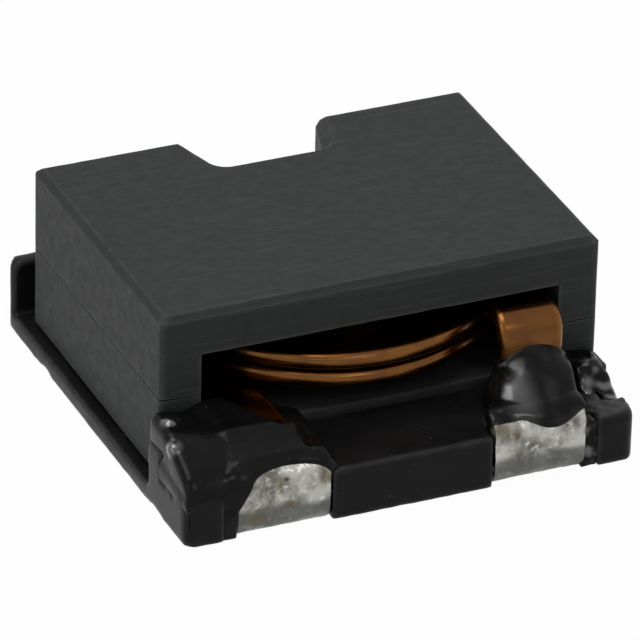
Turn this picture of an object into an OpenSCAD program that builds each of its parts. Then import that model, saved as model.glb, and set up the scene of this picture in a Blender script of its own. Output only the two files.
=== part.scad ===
// Shielded power inductor: an edge-wound flat-wire coil between two ferrite
// halves, standing on a moulded base with tinned surface-mount ends.
// The origin is the centre of the base on the seating plane. +Z is up and
// the ends come out on the -Y side.

/* [Moulded base] */
// Width of the base, left to right
base_w = 13; // [13:0.1:14]
// Depth of the base, front to back
base_d = 13; // [12.8:0.1:14]
// Radius of the base's upright corners
base_corner_r = 0.35; // [0.1:0.05:0.45]
// Thickness of the floor under the core
floor_t = 0.5; // [0.45:0.05:0.7]
// Gap left under the floor by the solder and the rear feet
seat_gap = 0.05; // [0.03:0.01:0.1]
// Height of the front block above the floor
block_h = 1.05; // [0.9:0.05:1.15]
// Depth of the front block
block_d = 2.75; // [2.6:0.05:3]
// Height of the corner posts above the front block
post_h = 0.4; // [0.3:0.05:0.6]
// Width of the corner posts
post_w = 1.15; // [1:0.05:1.15]
// Depth of the corner posts
post_d = 0.95; // [0.8:0.05:1.1]
// Depth of the dip in the block's outer edge, in front of each post
dip_h = 0.3; // [0.1:0.05:0.4]
// Length of that dip
dip_l = 0.9; // [0.6:0.05:1]
// Thickness of the rear wall
wall_t = 0.46; // [0.4:0.02:0.6]
// Height of the rear wall above the floor
wall_h = 1.6; // [1.4:0.05:2.2]
// Length of a rear foot
foot_w = 2; // [1.5:0.1:2.5]
// Depth of a rear foot
foot_d = 1.1; // [0.8:0.1:1.6]

/* [Ferrite core] */
// Margin of the base on each side of the core
core_margin = 0.15; // [0.1:0.01:0.3]
// Gap between the core and the rear wall
core_rear_gap = 0.69; // [0.5:0.01:0.8]
// Thickness of the plate of each half
plate_t = 1.25; // [1.1:0.05:1.3]
// Width of each outer leg
leg_w = 1.17; // [1:0.01:1.25]
// Clearance between the round centre post and the coil
post_gap = 0.15; // [0.1:0.01:0.4]
// Width of the notch at the rear edge
notch_mouth_w = 3.9; // [3.6:0.1:5]
// Width of the notch at its floor
notch_floor_w = 3; // [2.6:0.1:3.4]
// Depth of the notch
notch_d = 1.62; // [1.3:0.02:1.7]
// Radius of the corners of the notch
notch_r = 0.3; // [0.2:0.05:0.5]
// Bevel round the top of the notch
notch_bevel = 0.27; // [0.15:0.01:0.3]
// Bevel along the outer edges of the core
core_bevel = 0.17; // [0.1:0.01:0.25]
// Sideways error of the core on its base
core_shift = 0.2; // [0:0.02:0.2]
// Air gap between the centre posts
air_gap = 0.2; // [0.1:0.02:0.4]
// Thickness of the adhesive between the legs
bond_t = 0.03; // [0.02:0.01:0.06]

/* [Winding] */
// Width of the flat wire
wire_w = 1.85; // [1.6:0.05:1.9]
// Thickness of the flat wire
wire_t = 0.5; // [0.4:0.02:0.52]
// Clearance between the coil and the outer legs
coil_side_gap = 0.18; // [0.12:0.02:0.3]
// Clearance between the coil and the rear wall
coil_rear_gap = 0.24; // [0.1:0.02:0.4]
// Gap between one turn and the next
turn_gap = 0.05; // [0.04:0.01:0.08]
// Turns between the two leads, always a whole number and a half
turns = 2.5; // [1.5:1:2.5]
// Clearance under the lowest turn
coil_lift = 0.21; // [0.15:0.02:0.25]
// Clearance over the highest turn
coil_top_gap = 0.305; // [0.25:0.005:0.5]
// How far each lead leans away from the turn beside it
lead_lean = 0.05; // [0.03:0.01:0.08]
// Radius of the bend where the upper lead drops in front of the coil
drop_r = 0.5; // [0.4:0.02:0.56]
// Radius of the bend where it reaches the front block
knee_r = 0.5; // [0.4:0.02:0.6]

/* [Terminals] */
// Width of the foot outside each terminal, at the front corners
corner_w = 1.125; // [1.1:0.025:1.2]
// Width of the flattened end of the wire
end_w = 2.55; // [2.4:0.05:2.6]
// Thickness of the flattened end of the wire
end_t = 0.32; // [0.26:0.02:0.34]
// Clearance between the front block and the flattened end over it
end_lift = 0.1; // [0.08:0.01:0.14]
// Thickness of the solder on the ends
tin_t = 0.06; // [0.04:0.01:0.07]
// Length of the pad that is folded under the base
pad_l = 1.6; // [1.2:0.05:1.8]
// Radius of the fold under the base
fold_r = 0.35; // [0.3:0.05:0.5]
// Radius of the bend over the block's front edge
bend_r = 0.4; // [0.32:0.02:0.46]
// Room beside each end, on its outer side, that the epoxy fills
slot_room = 0.34; // [0.2:0.02:0.36]

/* [Epoxy] */
// Height of the left pool against the ferrite, above the front block
pool_h = 1.15; // [1:0.05:1.2]
// Thickness of the epoxy on the right lead
sleeve_t = 0.12; // [0.08:0.01:0.14]
// Height of the top of the right sleeve above the front block
sleeve_h = 1.55; // [1.3:0.05:1.7]
// How far the epoxy on the right post stands proud of it
cap_t = 0.12; // [0.08:0.01:0.16]

/* [Hidden] */

eps = 0.01;
fit_gap = 0.01;
wall_edge_r = 0.3;
slot_side_gap = 0.05;
rear_chip = 2.9;
front_chip = 2.3;

floor_top = seat_gap + floor_t;
block_top = floor_top + block_h;
post_top = block_top + post_h;
front_y = -base_d / 2;
rear_y = base_d / 2;

// The core takes the room that the base leaves it.
core_w = base_w - 2 * core_margin;
core_d = base_d - block_d - wall_t - core_rear_gap;
core_front = front_y + block_d;
core_back = core_front + core_d;
core_y = core_front + core_d / 2;

// The coil stays clear of the outer legs and of the rear wall.
window_w = core_w - 2 * leg_w;
coil_r = min(window_w / 2 - coil_side_gap, core_d / 2 + core_rear_gap - coil_rear_gap);
mid_r = coil_r - wire_w / 2;
centre_r = coil_r - wire_w - post_gap;
core_left = core_shift - core_w / 2;
core_right = core_shift + core_w / 2;

// The height of the window follows from the turns in it.
pitch = wire_t + turn_gap;
coil_h = turns * pitch + wire_t;
half_h = plate_t + (coil_lift + coil_h + coil_top_gap - bond_t) / 2;
split_z = floor_top + half_h;
upper_z = split_z + bond_t;
core_top = upper_z + half_h;
coil_z = floor_top + plate_t + coil_lift + wire_t / 2;
coil_end_z = coil_z + turns * pitch;

// Middle of the flattened wire: over the block, down the front, in the pad
end_half = end_t / 2 + tin_t;
end_y = front_y + end_half;
pad_z = end_half;
over_z = block_top + end_lift + end_t / 2;
pad_tip_y = end_y + pad_l;
slot_d = 2 * end_half + fit_gap;
end_side = end_w / 2 + tin_t;
term_x = base_w / 2 - corner_w - slot_room - end_side;

$fn = 48;

// ---------- shared outlines ----------

module rounded_rect(w, d, r) {
    square([w - 2 * r, d], center = true);
    square([w, d - 2 * r], center = true);
    for (x = [-1, 1], y = [-1, 1])
        translate([x * (w / 2 - r), y * (d / 2 - r)])
            circle(r);
}

// A bar's end view with its two upper corners rounded, standing on y = 0
module arched_bar(w, h, r) {
    translate([-w / 2, 0])
        square([w, h - r]);
    translate([-w / 2 + r, 0])
        square([w - 2 * r, h]);
    for (x = [-1, 1])
        translate([x * (w / 2 - r), h - r])
            circle(r);
}

// ---------- base ----------

// What rounding takes off a front edge, in (y, z): its centre, radius and side
module edge_round(c, r, side) {
    reach = r + end_half;
    translate(c)
        difference() {
            translate([-r - 2 * eps, side < 0 ? -r - 2 * eps : 0])
                square([r + 2 * eps, side < 0 ? r + 2 * eps : reach]);
            circle(r + fit_gap / 2);
        }
}

// The room that one end of the winding needs in the front and the underside
module lead_slot(side) {
    inner = term_x - end_side - slot_side_gap;
    outer = term_x + end_side + slot_room;
    left = side < 0 ? -outer : inner;
    translate([left, front_y - eps, -eps])
        cube([outer - inner, slot_d + eps, block_top + 2 * eps]);
    translate([left, front_y - eps, -eps])
        cube([outer - inner, slot_d + pad_l + eps, slot_d + eps]);
    // the block's edges are rounded inside the bend and inside the fold
    translate([left, 0, 0])
        rotate([90, 0, 90])
            linear_extrude(outer - inner) {
                edge_round([over_y, over_z - bend_r], bend_r - end_half - fit_gap, 1);
                edge_round([end_y + fold_r, pad_z + fold_r], fold_r - end_half - fit_gap, -1);
            }
}

// Dip in the outer edge of the block, between the post and the front corner
module side_dip(side) {
    translate([side * base_w / 2, core_front - post_d - dip_l / 2, block_top])
        cube([post_w, dip_l, 2 * dip_h], center = true);
}

module base_body() {
    // floor
    translate([0, 0, seat_gap])
        linear_extrude(floor_t)
            rounded_rect(base_w, base_d, base_corner_r);
    // front block with its two corner posts, and the rear wall
    intersection() {
        linear_extrude(core_top)
            rounded_rect(base_w, base_d, base_corner_r);
        union() {
            translate([-base_w / 2, front_y, seat_gap])
                cube([base_w, block_d, block_top - seat_gap]);
            for (x = [-base_w / 2, base_w / 2 - post_w])
                translate([x, core_front - post_d, seat_gap])
                    cube([post_w, post_d, post_top - seat_gap]);
            translate([0, rear_y, seat_gap])
                rotate([90, 0, 0])
                    linear_extrude(wall_t)
                        arched_bar(base_w, floor_t + wall_h, wall_edge_r);
        }
    }
    // rear feet, level with the solder under the pads
    for (x = [-1, 1])
        translate([x * term_x, rear_y - 1.5 * foot_d, 0])
            linear_extrude(seat_gap + eps)
                rounded_rect(foot_w, foot_d, base_corner_r / 2);
}

module base_moulding() {
    difference() {
        base_body();
        for (side = [-1, 1]) {
            lead_slot(side);
            side_dip(side);
        }
    }
}

module base() {
    color([0.10, 0.10, 0.11])
        difference() {
            base_moulding();
            // small chips along the lower left edge
            translate([-base_w / 2, rear_y - rear_chip, 0])
                rotate([0, 38, 12])
                    cube([0.16, 0.7, 0.3], center = true);
            translate([-base_w / 2, front_y + front_chip, 0])
                rotate([0, 40, -10])
                    cube([0.14, 1.1, 0.26], center = true);
        }
}

// ---------- ferrite core ----------

// The notch flares from its floor to its mouth by this angle on each side.
notch_slope = atan2((notch_mouth_w - notch_floor_w) / 2, notch_d);

// Plan of the notch grown by g; the rear edge is y = 0
module notch_outline(g = 0) {
    r = notch_r + g;
    inner = notch_floor_w / 2 - notch_r * tan((90 - notch_slope) / 2);
    flank = [cos(notch_slope), -sin(notch_slope)];
    along = [sin(notch_slope), cos(notch_slope)];
    turn = [inner, -notch_d + notch_r] + r * flank;
    mouth = turn + along * (notch_d / cos(notch_slope));
    polygon([
        [-inner, -notch_d - g], [inner, -notch_d - g],
        turn, mouth, [-mouth[0], mouth[1]], [-turn[0], turn[1]]
    ]);
    for (s = [-1, 1])
        translate([s * inner, -notch_d + notch_r])
            circle(r, $fn = 32);
}

// The two rounded lips that the notch leaves at the rear edge
module notch_lips() {
    lip = notch_r * tan((90 - notch_slope) / 2);
    half = notch_mouth_w / 2;
    difference() {
        for (s = [-1, 1])
            translate([s * (half + lip / 2 - eps), -notch_r / 2])
                square([lip + 4 * eps, notch_r + 2 * eps], center = true);
        for (s = [-1, 1])
            translate([s * (half + lip), -notch_r])
                circle(notch_r, $fn = 32);
    }
}

module core_plan() {
    difference() {
        translate([core_left, core_front])
            square([core_w, core_d]);
        translate([core_shift, core_back]) {
            notch_outline();
            notch_lips();
        }
    }
}

// End view of one half across a width, bevelled along its outer plate
module bevelled_end(w) {
    polygon([
        [-w / 2, 0], [w / 2, 0],
        [w / 2, half_h - core_bevel], [w / 2 - core_bevel, half_h],
        [-w / 2 + core_bevel, half_h], [-w / 2, half_h - core_bevel]
    ]);
}

// One half with its plate upwards and its mating faces on z = 0
module core_half() {
    difference() {
        intersection() {
            linear_extrude(half_h)
                core_plan();
            translate([core_shift, core_back, 0])
                rotate([90, 0, 0])
                    linear_extrude(core_d)
                        bevelled_end(core_w);
            translate([core_left, core_y, 0])
                rotate([90, 0, 90])
                    linear_extrude(core_w)
                        bevelled_end(core_d);
            // upright corners, slightly rounded by tumbling
            translate([core_shift, core_y, 0])
                linear_extrude(half_h)
                    rounded_rect(core_w, core_d, core_bevel);
        }
        // bevel round the notch
        translate([core_shift, core_back, half_h])
            hull() {
                translate([0, 0, -notch_bevel])
                    linear_extrude(eps)
                        notch_outline(0.02);
                linear_extrude(eps)
                    notch_outline(notch_bevel + 0.02);
            }
        // winding window, open to the front and the back
        translate([core_shift - window_w / 2, core_front - eps, -eps])
            cube([window_w, core_d + 2 * eps, half_h - plate_t + eps]);
    }
    translate([core_shift, core_y, air_gap / 2])
        cylinder(h = half_h - plate_t - air_gap / 2 + eps, r = centre_r);
}

module lower_core() {
    color([0.27, 0.28, 0.28])
        translate([0, 0, split_z])
            mirror([0, 0, 1])
                core_half();
}

module upper_core() {
    color([0.30, 0.31, 0.31])
        translate([0, 0, upper_z])
            core_half();
}

// Adhesive film between two legs, set in a little from their edges
module leg_bond(x) {
    translate([x + core_bevel, core_front + core_bevel, split_z])
        cube([leg_w - 2 * core_bevel, core_d - 2 * core_bevel, bond_t]);
}

module left_bond() {
    color([0.06, 0.06, 0.06])
        leg_bond(core_left);
}

module right_bond() {
    color([0.06, 0.06, 0.06])
        leg_bond(core_right - leg_w);
}

// ---------- winding ----------

// 0 at a, 1 at b, with a smooth start and finish
function ease(v, a, b) =
    let (u = min(1, max(0, (v - a) / (b - a)))) u * u * (3 - 2 * u);

function arc(c, r, a0, a1, n) =
    [for (i = [0:n]) let (a = a0 + (a1 - a0) * i / n) c + r * [cos(a), sin(a)]];

function line(p, q, n) = [for (i = [1:n - 1]) p + (q - p) * i / n];

// 0 where a lead is flattened over its terminal, 1 where it is plain wire
over_y = end_y + bend_r;
plain_y = over_y + 1;
function in_coil(y) = ease(y, over_y + eps, plain_y);

function lean(y) = lead_lean * ease(y, core_front + 0.8, core_y);

// Each lead's side view runs from its pad to the coil, as points in (y, z).
end_side_view = concat(
    [[pad_tip_y, pad_z]],
    arc([end_y + fold_r, pad_z + fold_r], fold_r, 270, 180, 7),
    line([end_y, pad_z + fold_r], [end_y, over_z - bend_r], 3),
    arc([over_y, over_z - bend_r], bend_r, 180, 90, 5)
);

// The lower lead climbs a little from its terminal to the lowest turn.
left_lead_z = coil_z - lead_lean;
left_side = concat(
    end_side_view,
    [for (i = [1:8])
        let (y = over_y + (plain_y - over_y) * i / 8)
        [y, over_z + (left_lead_z - over_z) * in_coil(y)]],
    line([plain_y, left_lead_z], [core_y, left_lead_z], 14)
);

// The upper lead drops in front of the coil and turns forward at its knee.
right_lead_z = coil_end_z + lead_lean;
drop = [core_front - 0.1, right_lead_z - drop_r];
drop_y = drop[0] - drop_r;
thicker = (wire_t - end_t) / 2;
knee = [drop_y - knee_r, over_z + thicker + knee_r];
right_side = concat(
    end_side_view,
    [for (i = [1:6])
        let (y = over_y + (knee[0] - over_y) * i / 7)
        [y, over_z + thicker * in_coil(y)]],
    arc(knee, knee_r, 270, 360, 6),
    line([drop_y, knee[1]], [drop_y, drop[1]], 4),
    arc(drop, drop_r, 180, 90, 8),
    line([drop[0], right_lead_z], [core_y, right_lead_z], 14)
);

// Stations of the wire: [place, direction across the wire, width, thickness]
function lead_station(p, side) =
    let (k = p[1] < block_top ? 0 : in_coil(p[0]))
    [
        [side * term_x + (core_shift + side * (mid_r - term_x)) * k, p[0],
         p[1] - side * lean(p[0])],
        [side, 0, 0],
        end_w + (wire_w - end_w) * k,
        end_t + (wire_t - end_t) * k
    ];

function coil_station(a) =
    [
        [core_shift - mid_r * cos(a), core_y + mid_r * sin(a), coil_z + pitch * a / 360],
        [-cos(a), sin(a), 0],
        wire_w,
        wire_t
    ];

left_lead = [for (p = left_side) lead_station(p, -1)];
right_lead = [for (p = right_side) lead_station(p, 1)];

coil_steps = 44;
wire_path = concat(
    left_lead,
    [for (i = [0:coil_steps * turns]) coil_station(360 * i / coil_steps)],
    [for (i = [len(right_lead) - 1:-1:0]) right_lead[i]]
);

function unit(v) = v / norm(v);

// Rounded section of the wire: thin edges are drawn nearly half round
function wire_section(w, t, corner = 0.42) =
    let (r = t * corner, n = 3)
    [for (q = [0:3], i = [0:n])
        let (a = 90 * q + 90 * i / n,
             sx = (q == 0 || q == 3) ? 1 : -1,
             sy = q < 2 ? 1 : -1)
        [sx * (w / 2 - r) + r * cos(a), sy * (t / 2 - r) + r * sin(a)]];

// One closed skin over a row of rings with the same number of points
module skin(rings) {
    last = len(rings) - 1;
    m = len(rings[0]);
    sides = [for (i = [0:last - 1], j = [0:m - 1])
        let (k = (j + 1) % m)
        [i * m + j, (i + 1) * m + j, (i + 1) * m + k, i * m + k]];
    first_cap = [[for (j = [0:m - 1]) j]];
    last_cap = [[for (j = [m - 1:-1:0]) last * m + j]];
    polyhedron([for (ring = rings, p = ring) p], concat(first_cap, sides, last_cap),
               convexity = 10);
}

// One ring for each station. A fifth value in a station moves its section
// along the thickness, and a sixth sets the share of its corners.
function rings(path, grow = 0) =
    let (last = len(path) - 1)
    [for (i = [0:last])
        let (s = path[i],
             run = unit(path[min(last, i + 1)][0] - path[max(0, i - 1)][0]),
             side = s[1],
             up = unit(cross(run, side)),
             shift = len(s) > 4 ? s[4] : 0,
             corner = len(s) > 5 ? s[5] : 0.42)
        [for (p = wire_section(s[2] + 2 * grow, s[3] + 2 * grow, corner))
            s[0] + side * p[0] + up * (p[1] + shift)]];

module winding() {
    color([0.62, 0.33, 0.12])
        skin(rings(wire_path));
}

// ---------- solder on the ends ----------

// A quarter of a ring of thickness t, in one quadrant of its centre
module quarter_ring(c, r, t, sy, sz) {
    translate(c)
        intersection() {
            difference() {
                circle(r + t / 2);
                circle(r - t / 2);
            }
            translate([sy < 0 ? -r - t : 0, sz < 0 ? -r - t : 0])
                square(r + t);
        }
}

// Side view of one end in (y, z), grown by g and carried on by past: the pad,
// the fold, the upright and the bend over the block's edge
module end_profile(g, past = 0) {
    t = end_t + 2 * g;
    fold = [end_y + fold_r, pad_z + fold_r];
    bend = [over_y, over_z - bend_r];
    quarter_ring(fold, fold_r, t, -1, -1);
    quarter_ring(bend, bend_r, t, -1, 1);
    translate([end_y - t / 2, fold[1] - eps])
        square([t, bend[1] - fold[1] + 2 * eps]);
    translate([fold[0] - eps, pad_z - t / 2])
        square([pad_tip_y - fold[0] + g + eps, t]);
    if (past > 0)
        translate([over_y - eps, over_z - t / 2])
            square([past + eps, t]);
}

// The solder coat of one end, from its pad's tip to the top of its bend
module tinned_end(x) {
    translate([x - end_side, 0, 0])
        difference() {
            rotate([90, 0, 90])
                linear_extrude(2 * end_side)
                    difference() {
                        end_profile(tin_t);
                        // no solder between the bend and the block's edge
                        translate([over_y, over_z - bend_r])
                            intersection() {
                                circle(bend_r - end_t / 2 - fit_gap + eps);
                                translate([-bend_r, 0])
                                    square(bend_r + eps);
                            }
                    }
            translate([tin_t - fit_gap, 0, 0])
                rotate([90, 0, 90])
                    linear_extrude(end_w + 2 * fit_gap)
                        end_profile(fit_gap, end_lift);
        }
}

module left_tinned_end() {
    color([0.62, 0.62, 0.60])
        tinned_end(-term_x);
}

module right_tinned_end() {
    color([0.62, 0.62, 0.60])
        tinned_end(term_x);
}

// ---------- epoxy ----------

// The room that one end takes up with its solder
module end_room(x) {
    translate([x - end_side - fit_gap, 0, 0])
        rotate([90, 0, 90])
            linear_extrude(2 * (end_side + fit_gap))
                end_profile(tin_t + 2 * fit_gap);
}

// Epoxy that ran down beside a terminal in beads, short of the front and the
// underside. The left one's head lies back on the block, under its pool, and
// the right one stops below the sleeve.
run_beads = 9;
right_run_top = 0.6;
module run_bead(side, u) {
    r = slot_room / 2 + 0.02 + 0.01 * sin(150 * u * run_beads);
    head = ease(u, 0.75, 1);
    translate([side * (term_x + end_side + slot_room / 2),
               front_y + slot_d - 0.08 + head * bend_r,
               slot_d + r + (block_top - slot_d) * u * (1 - 0.15 * head)])
        sphere(r, $fn = 16);
}

module slot_run(side, top = 1) {
    for (i = [0:run_beads - 1])
        hull() {
            run_bead(side, top * i / run_beads);
            run_bead(side, top * (i + 1) / run_beads);
        }
}

// Outline of a pool across the base at y, flat below and rounded above
function pool_ring(y, left, right, left_top, right_top, bottom, left_r, right_r) =
    concat(
        [[left, y, bottom], [right, y, bottom]],
        [for (p = arc([right - right_r, right_top - right_r], right_r, 0, 90, 5))
            [p[0], y, p[1]]],
        [for (p = arc([left + left_r, left_top - left_r], left_r, 90, 180, 4))
            [p[0], y, p[1]]]
    );

// 1 over most of a pool, then round and down at its front edge
function nose(u) = sqrt(1 - pow(max(0, (u - 0.75) / 0.26), 2));

// The left pool, from the ferrite's front to the block's front edge. It slopes
// down across the lead, so one corner of the lead stays bare.
pool_left = -base_w / 2 + 0.04;
pool_right = -term_x + end_side + 0.26;
pool_r = 0.25;
pool_steps = 14;
left_pool = [for (i = [0:pool_steps])
    let (u = i / pool_steps,
         over_end = end_lift + end_t + 0.08,
         high = pool_h + (over_end - pool_h) * ease(u, 0.25, 1),
         low = pool_h / 2 + (over_end - pool_h / 2) * ease(u, 0.4, 0.8))
    pool_ring(core_front - (block_d - 0.06) * u, pool_left, pool_right,
              block_top + high * nose(u), block_top + low * nose(u), floor_top,
              pool_r, 2 * pool_r * nose(u))];

module left_epoxy() {
    color([0.05, 0.05, 0.06])
        difference() {
            union() {
                skin(left_pool);
                slot_run(-1);
            }
            base_moulding();
            skin(rings(left_lead, fit_gap));
            end_room(-term_x);
        }
}

// The sleeve follows the right lead from its bend to its drop. Over the block
// it also reaches down to the block's top.
sleeve_top = block_top + sleeve_h;
sleeved = [for (s = right_lead)
    if (s[0][2] > over_z - bend_r * 0.6 && s[0][2] < sleeve_top && s[0][1] < core_front) s];
sleeve_outside = [for (s = sleeved)
    let (y = s[0][1],
         z = s[0][2],
         g = sleeve_t * (1 - 0.7 * ease(z, sleeve_top - 0.4, sleeve_top)),
         room = z - s[3] / 2 - block_top - fit_gap,
         below = 2 * fit_gap
             + (min(g, room) - 2 * fit_gap) * ease(y, over_y + eps, over_y + 0.2))
    [s[0], s[1], s[2] + 2 * g, s[3] + g + below, (below - g) / 2,
     0.18 + 0.24 * ease(y, over_y, over_y + 0.3)]];
sleeve_inside = [for (s = sleeved)
    let (tinned = s[0][1] < over_y + eps, c = tinned ? tin_t + 2 * fit_gap : fit_gap)
    [s[0], s[1], s[2] + 2 * c, s[3] + c + fit_gap, (fit_gap - c) / 2, tinned ? 0.05 : 0.42]];

// A skin with a hollow along it, open at both ends
module tube(outside, inside) {
    last = len(outside) - 1;
    m = len(outside[0]);
    n = (last + 1) * m;
    faces = [for (i = [0:last - 1], j = [0:m - 1])
        let (k = (j + 1) % m)
        [i * m + j, (i + 1) * m + j, (i + 1) * m + k, i * m + k]];
    ends = [for (j = [0:m - 1])
        let (k = (j + 1) % m, far = last * m)
        each [[j, k, n + k, n + j], [far + k, far + j, n + far + j, n + far + k]]];
    polyhedron(
        concat([for (ring = outside, p = ring) p], [for (ring = inside, p = ring) p]),
        concat(faces, [for (f = faces) [n + f[3], n + f[2], n + f[1], n + f[0]]], ends),
        convexity = 10);
}

module right_epoxy() {
    color([0.05, 0.05, 0.06])
        tube(rings(sleeve_outside), rings(sleeve_inside));
}

module right_run() {
    color([0.05, 0.05, 0.06])
        difference() {
            slot_run(1, right_run_top);
            base_moulding();
            end_room(term_x);
        }
}

// Epoxy over the right post, running down into the dip in front of it
cap_left = base_w / 2 - post_w + 0.06;
cap_right = base_w / 2 - 0.03;
cap_steps = 10;
cap = [for (i = [0:cap_steps])
    let (u = i / cap_steps,
         y = core_front - (post_d + dip_l - 0.02) * u,
         top = cap_t + post_h * (1 - ease(y, core_front - post_d + 0.1, core_front - post_d - 0.5))
             - cap_t * 1.4 * ease(u, 0.6, 1))
    pool_ring(y, cap_left, cap_right, block_top + top, block_top + top - 0.05,
              floor_top, pool_r, pool_r)];

module post_epoxy() {
    color([0.05, 0.05, 0.06])
        difference() {
            skin(cap);
            base_moulding();
        }
}

base();
lower_core();
upper_core();
left_bond();
right_bond();
winding();
left_tinned_end();
right_tinned_end();
left_epoxy();
right_epoxy();
right_run();
post_epoxy();
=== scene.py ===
"""Finish for a shielded power inductor: an edge-wound flat-wire coil between
two ferrite halves, glued to a black moulded base with tinned ends in front.
"""
import math

import bmesh
import bpy
import numpy as np
from mathutils import Matrix, Vector, noise


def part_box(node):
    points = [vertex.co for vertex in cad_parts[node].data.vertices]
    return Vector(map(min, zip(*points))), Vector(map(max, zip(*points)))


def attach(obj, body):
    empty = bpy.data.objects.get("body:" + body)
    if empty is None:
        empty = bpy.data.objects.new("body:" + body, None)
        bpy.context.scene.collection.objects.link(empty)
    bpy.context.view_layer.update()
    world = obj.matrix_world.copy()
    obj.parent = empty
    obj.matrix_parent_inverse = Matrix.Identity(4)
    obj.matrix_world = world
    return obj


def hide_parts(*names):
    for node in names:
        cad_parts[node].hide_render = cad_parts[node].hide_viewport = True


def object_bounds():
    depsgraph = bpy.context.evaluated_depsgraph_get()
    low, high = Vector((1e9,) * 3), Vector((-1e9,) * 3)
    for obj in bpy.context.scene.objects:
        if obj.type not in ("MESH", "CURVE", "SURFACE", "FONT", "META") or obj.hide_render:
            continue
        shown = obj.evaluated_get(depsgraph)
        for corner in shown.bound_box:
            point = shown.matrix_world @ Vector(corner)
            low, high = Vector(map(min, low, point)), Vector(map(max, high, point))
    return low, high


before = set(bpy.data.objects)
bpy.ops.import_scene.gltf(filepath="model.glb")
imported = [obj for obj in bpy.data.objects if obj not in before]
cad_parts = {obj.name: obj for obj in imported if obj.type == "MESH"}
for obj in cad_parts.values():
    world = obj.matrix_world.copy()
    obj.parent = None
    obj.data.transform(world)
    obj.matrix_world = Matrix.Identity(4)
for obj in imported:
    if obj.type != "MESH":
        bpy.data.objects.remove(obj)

# ---------------------------------------------------------------- the room
# A pale table that runs back without an edge, one large soft lamp above and
# to the left, two small ones at the left and in front, and a long lens.
cad_low, cad_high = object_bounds()
scene = bpy.context.scene
scene.view_settings.view_transform = "Standard"

look_at = Vector((0.0002, 0.00084, 0.00182))
azimuth, elevation, roll = math.radians(-23.879), math.radians(29.470), math.radians(1.32)
camera_distance, lens, lens_shift = 0.2069, 428.7, (0.0124, -0.0032)
back = Vector((math.sin(azimuth) * math.cos(elevation),
               -math.cos(azimuth) * math.cos(elevation),
               math.sin(elevation)))
right = Vector((0, 0, 1)).cross(back).normalized()
up = back.cross(right)
right, up = (right * math.cos(roll) + up * math.sin(roll),
             up * math.cos(roll) - right * math.sin(roll))
camera = bpy.data.objects.new("camera", bpy.data.cameras.new("camera"))
camera.data.sensor_width = 36
camera.data.lens = lens
camera.data.shift_x, camera.data.shift_y = lens_shift
camera.data.clip_start, camera.data.clip_end = 0.01, 10
place = look_at + back * camera_distance
camera.matrix_world = Matrix((
    (right.x, up.x, back.x, place.x),
    (right.y, up.y, back.y, place.y),
    (right.z, up.z, back.z, place.z),
    (0, 0, 0, 1)))
scene.collection.objects.link(camera)
scene.camera = camera


def soft_lamp(name, place, size, watts):
    """A square soft box that faces the part."""
    data = bpy.data.lights.new(name, "AREA")
    data.shape, data.size, data.energy = "SQUARE", size, watts
    lamp = bpy.data.objects.new(name, data)
    lamp.location = place
    lamp.rotation_mode = "QUATERNION"
    lamp.rotation_quaternion = (-Vector(place)).to_track_quat("-Z", "Y")
    scene.collection.objects.link(lamp)


soft_lamp("overhead", (-0.12, 0.02, 0.44), 0.30, 1.05)
soft_lamp("window", (-0.34, -0.10, 0.16), 0.11, 0.10)
soft_lamp("front_strip", (0.05, -0.34, 0.30), 0.09, 0.12)


def seen_directly(nodes, links):
    """1 for rays that show the surroundings: the camera's own, mirrored and transmitted ones."""
    path = nodes.new("ShaderNodeLightPath")
    either = nodes.new("ShaderNodeMath")
    either.operation = "ADD"
    links.new(path.outputs["Is Camera Ray"], either.inputs[0])
    links.new(path.outputs["Is Glossy Ray"], either.inputs[1])
    total = nodes.new("ShaderNodeMath")
    total.operation, total.use_clamp = "ADD", True
    links.new(either.outputs[0], total.inputs[0])
    links.new(path.outputs["Is Transmission Ray"], total.inputs[1])
    return total.outputs[0]


room_grey, paper_grey, clear_white = (0.30, 0.305, 0.31, 1), (0.85, 0.85, 0.85, 1), (1, 1, 1, 1)
world = bpy.data.worlds.new("studio")
scene.world = world
world.use_nodes = True
nodes, links = world.node_tree.nodes, world.node_tree.links
nodes.clear()
dim, white = nodes.new("ShaderNodeBackground"), nodes.new("ShaderNodeBackground")
dim.inputs["Color"].default_value = room_grey
white.inputs["Color"].default_value = clear_white
either = nodes.new("ShaderNodeMixShader")
links.new(seen_directly(nodes, links), either.inputs[0])
links.new(dim.outputs[0], either.inputs[1])
links.new(white.outputs[0], either.inputs[2])
links.new(either.outputs[0], nodes.new("ShaderNodeOutputWorld").inputs["Surface"])

table_radius, glow_share = 3, 0.97
table = bpy.data.objects.new("table", bpy.data.meshes.new("table"))
bm = bmesh.new()
bmesh.ops.create_circle(bm, cap_ends=True, segments=64, radius=table_radius)
bm.to_mesh(table.data)
bm.free()
scene.collection.objects.link(table)
paper = bpy.data.materials.new("white_paper")
paper.use_nodes = True
nodes, links = paper.node_tree.nodes, paper.node_tree.links
nodes.clear()
matt, glow = nodes.new("ShaderNodeBsdfDiffuse"), nodes.new("ShaderNodeEmission")
matt.inputs["Color"].default_value = paper_grey
glow.inputs["Color"].default_value = clear_white
share = nodes.new("ShaderNodeMath")
share.operation = "MULTIPLY"
share.inputs[1].default_value = glow_share
links.new(seen_directly(nodes, links), share.inputs[0])
both = nodes.new("ShaderNodeMixShader")
links.new(share.outputs[0], both.inputs[0])
links.new(matt.outputs[0], both.inputs[1])
links.new(glow.outputs[0], both.inputs[2])
links.new(both.outputs[0], nodes.new("ShaderNodeOutputMaterial").inputs["Surface"])
table.data.materials.append(paper)

# ----------------------------------------------------------- moulded base
# One moulding in glass-filled black plastic: a thin floor, a block in front
# with a slot for each end of the wire, two corner posts and a rear wall.
# The mould leaves it semi-gloss, with rubbed edges and rough trimmed spots; their up-facing parts
# are lighter grey, partly painted sheen.


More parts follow.
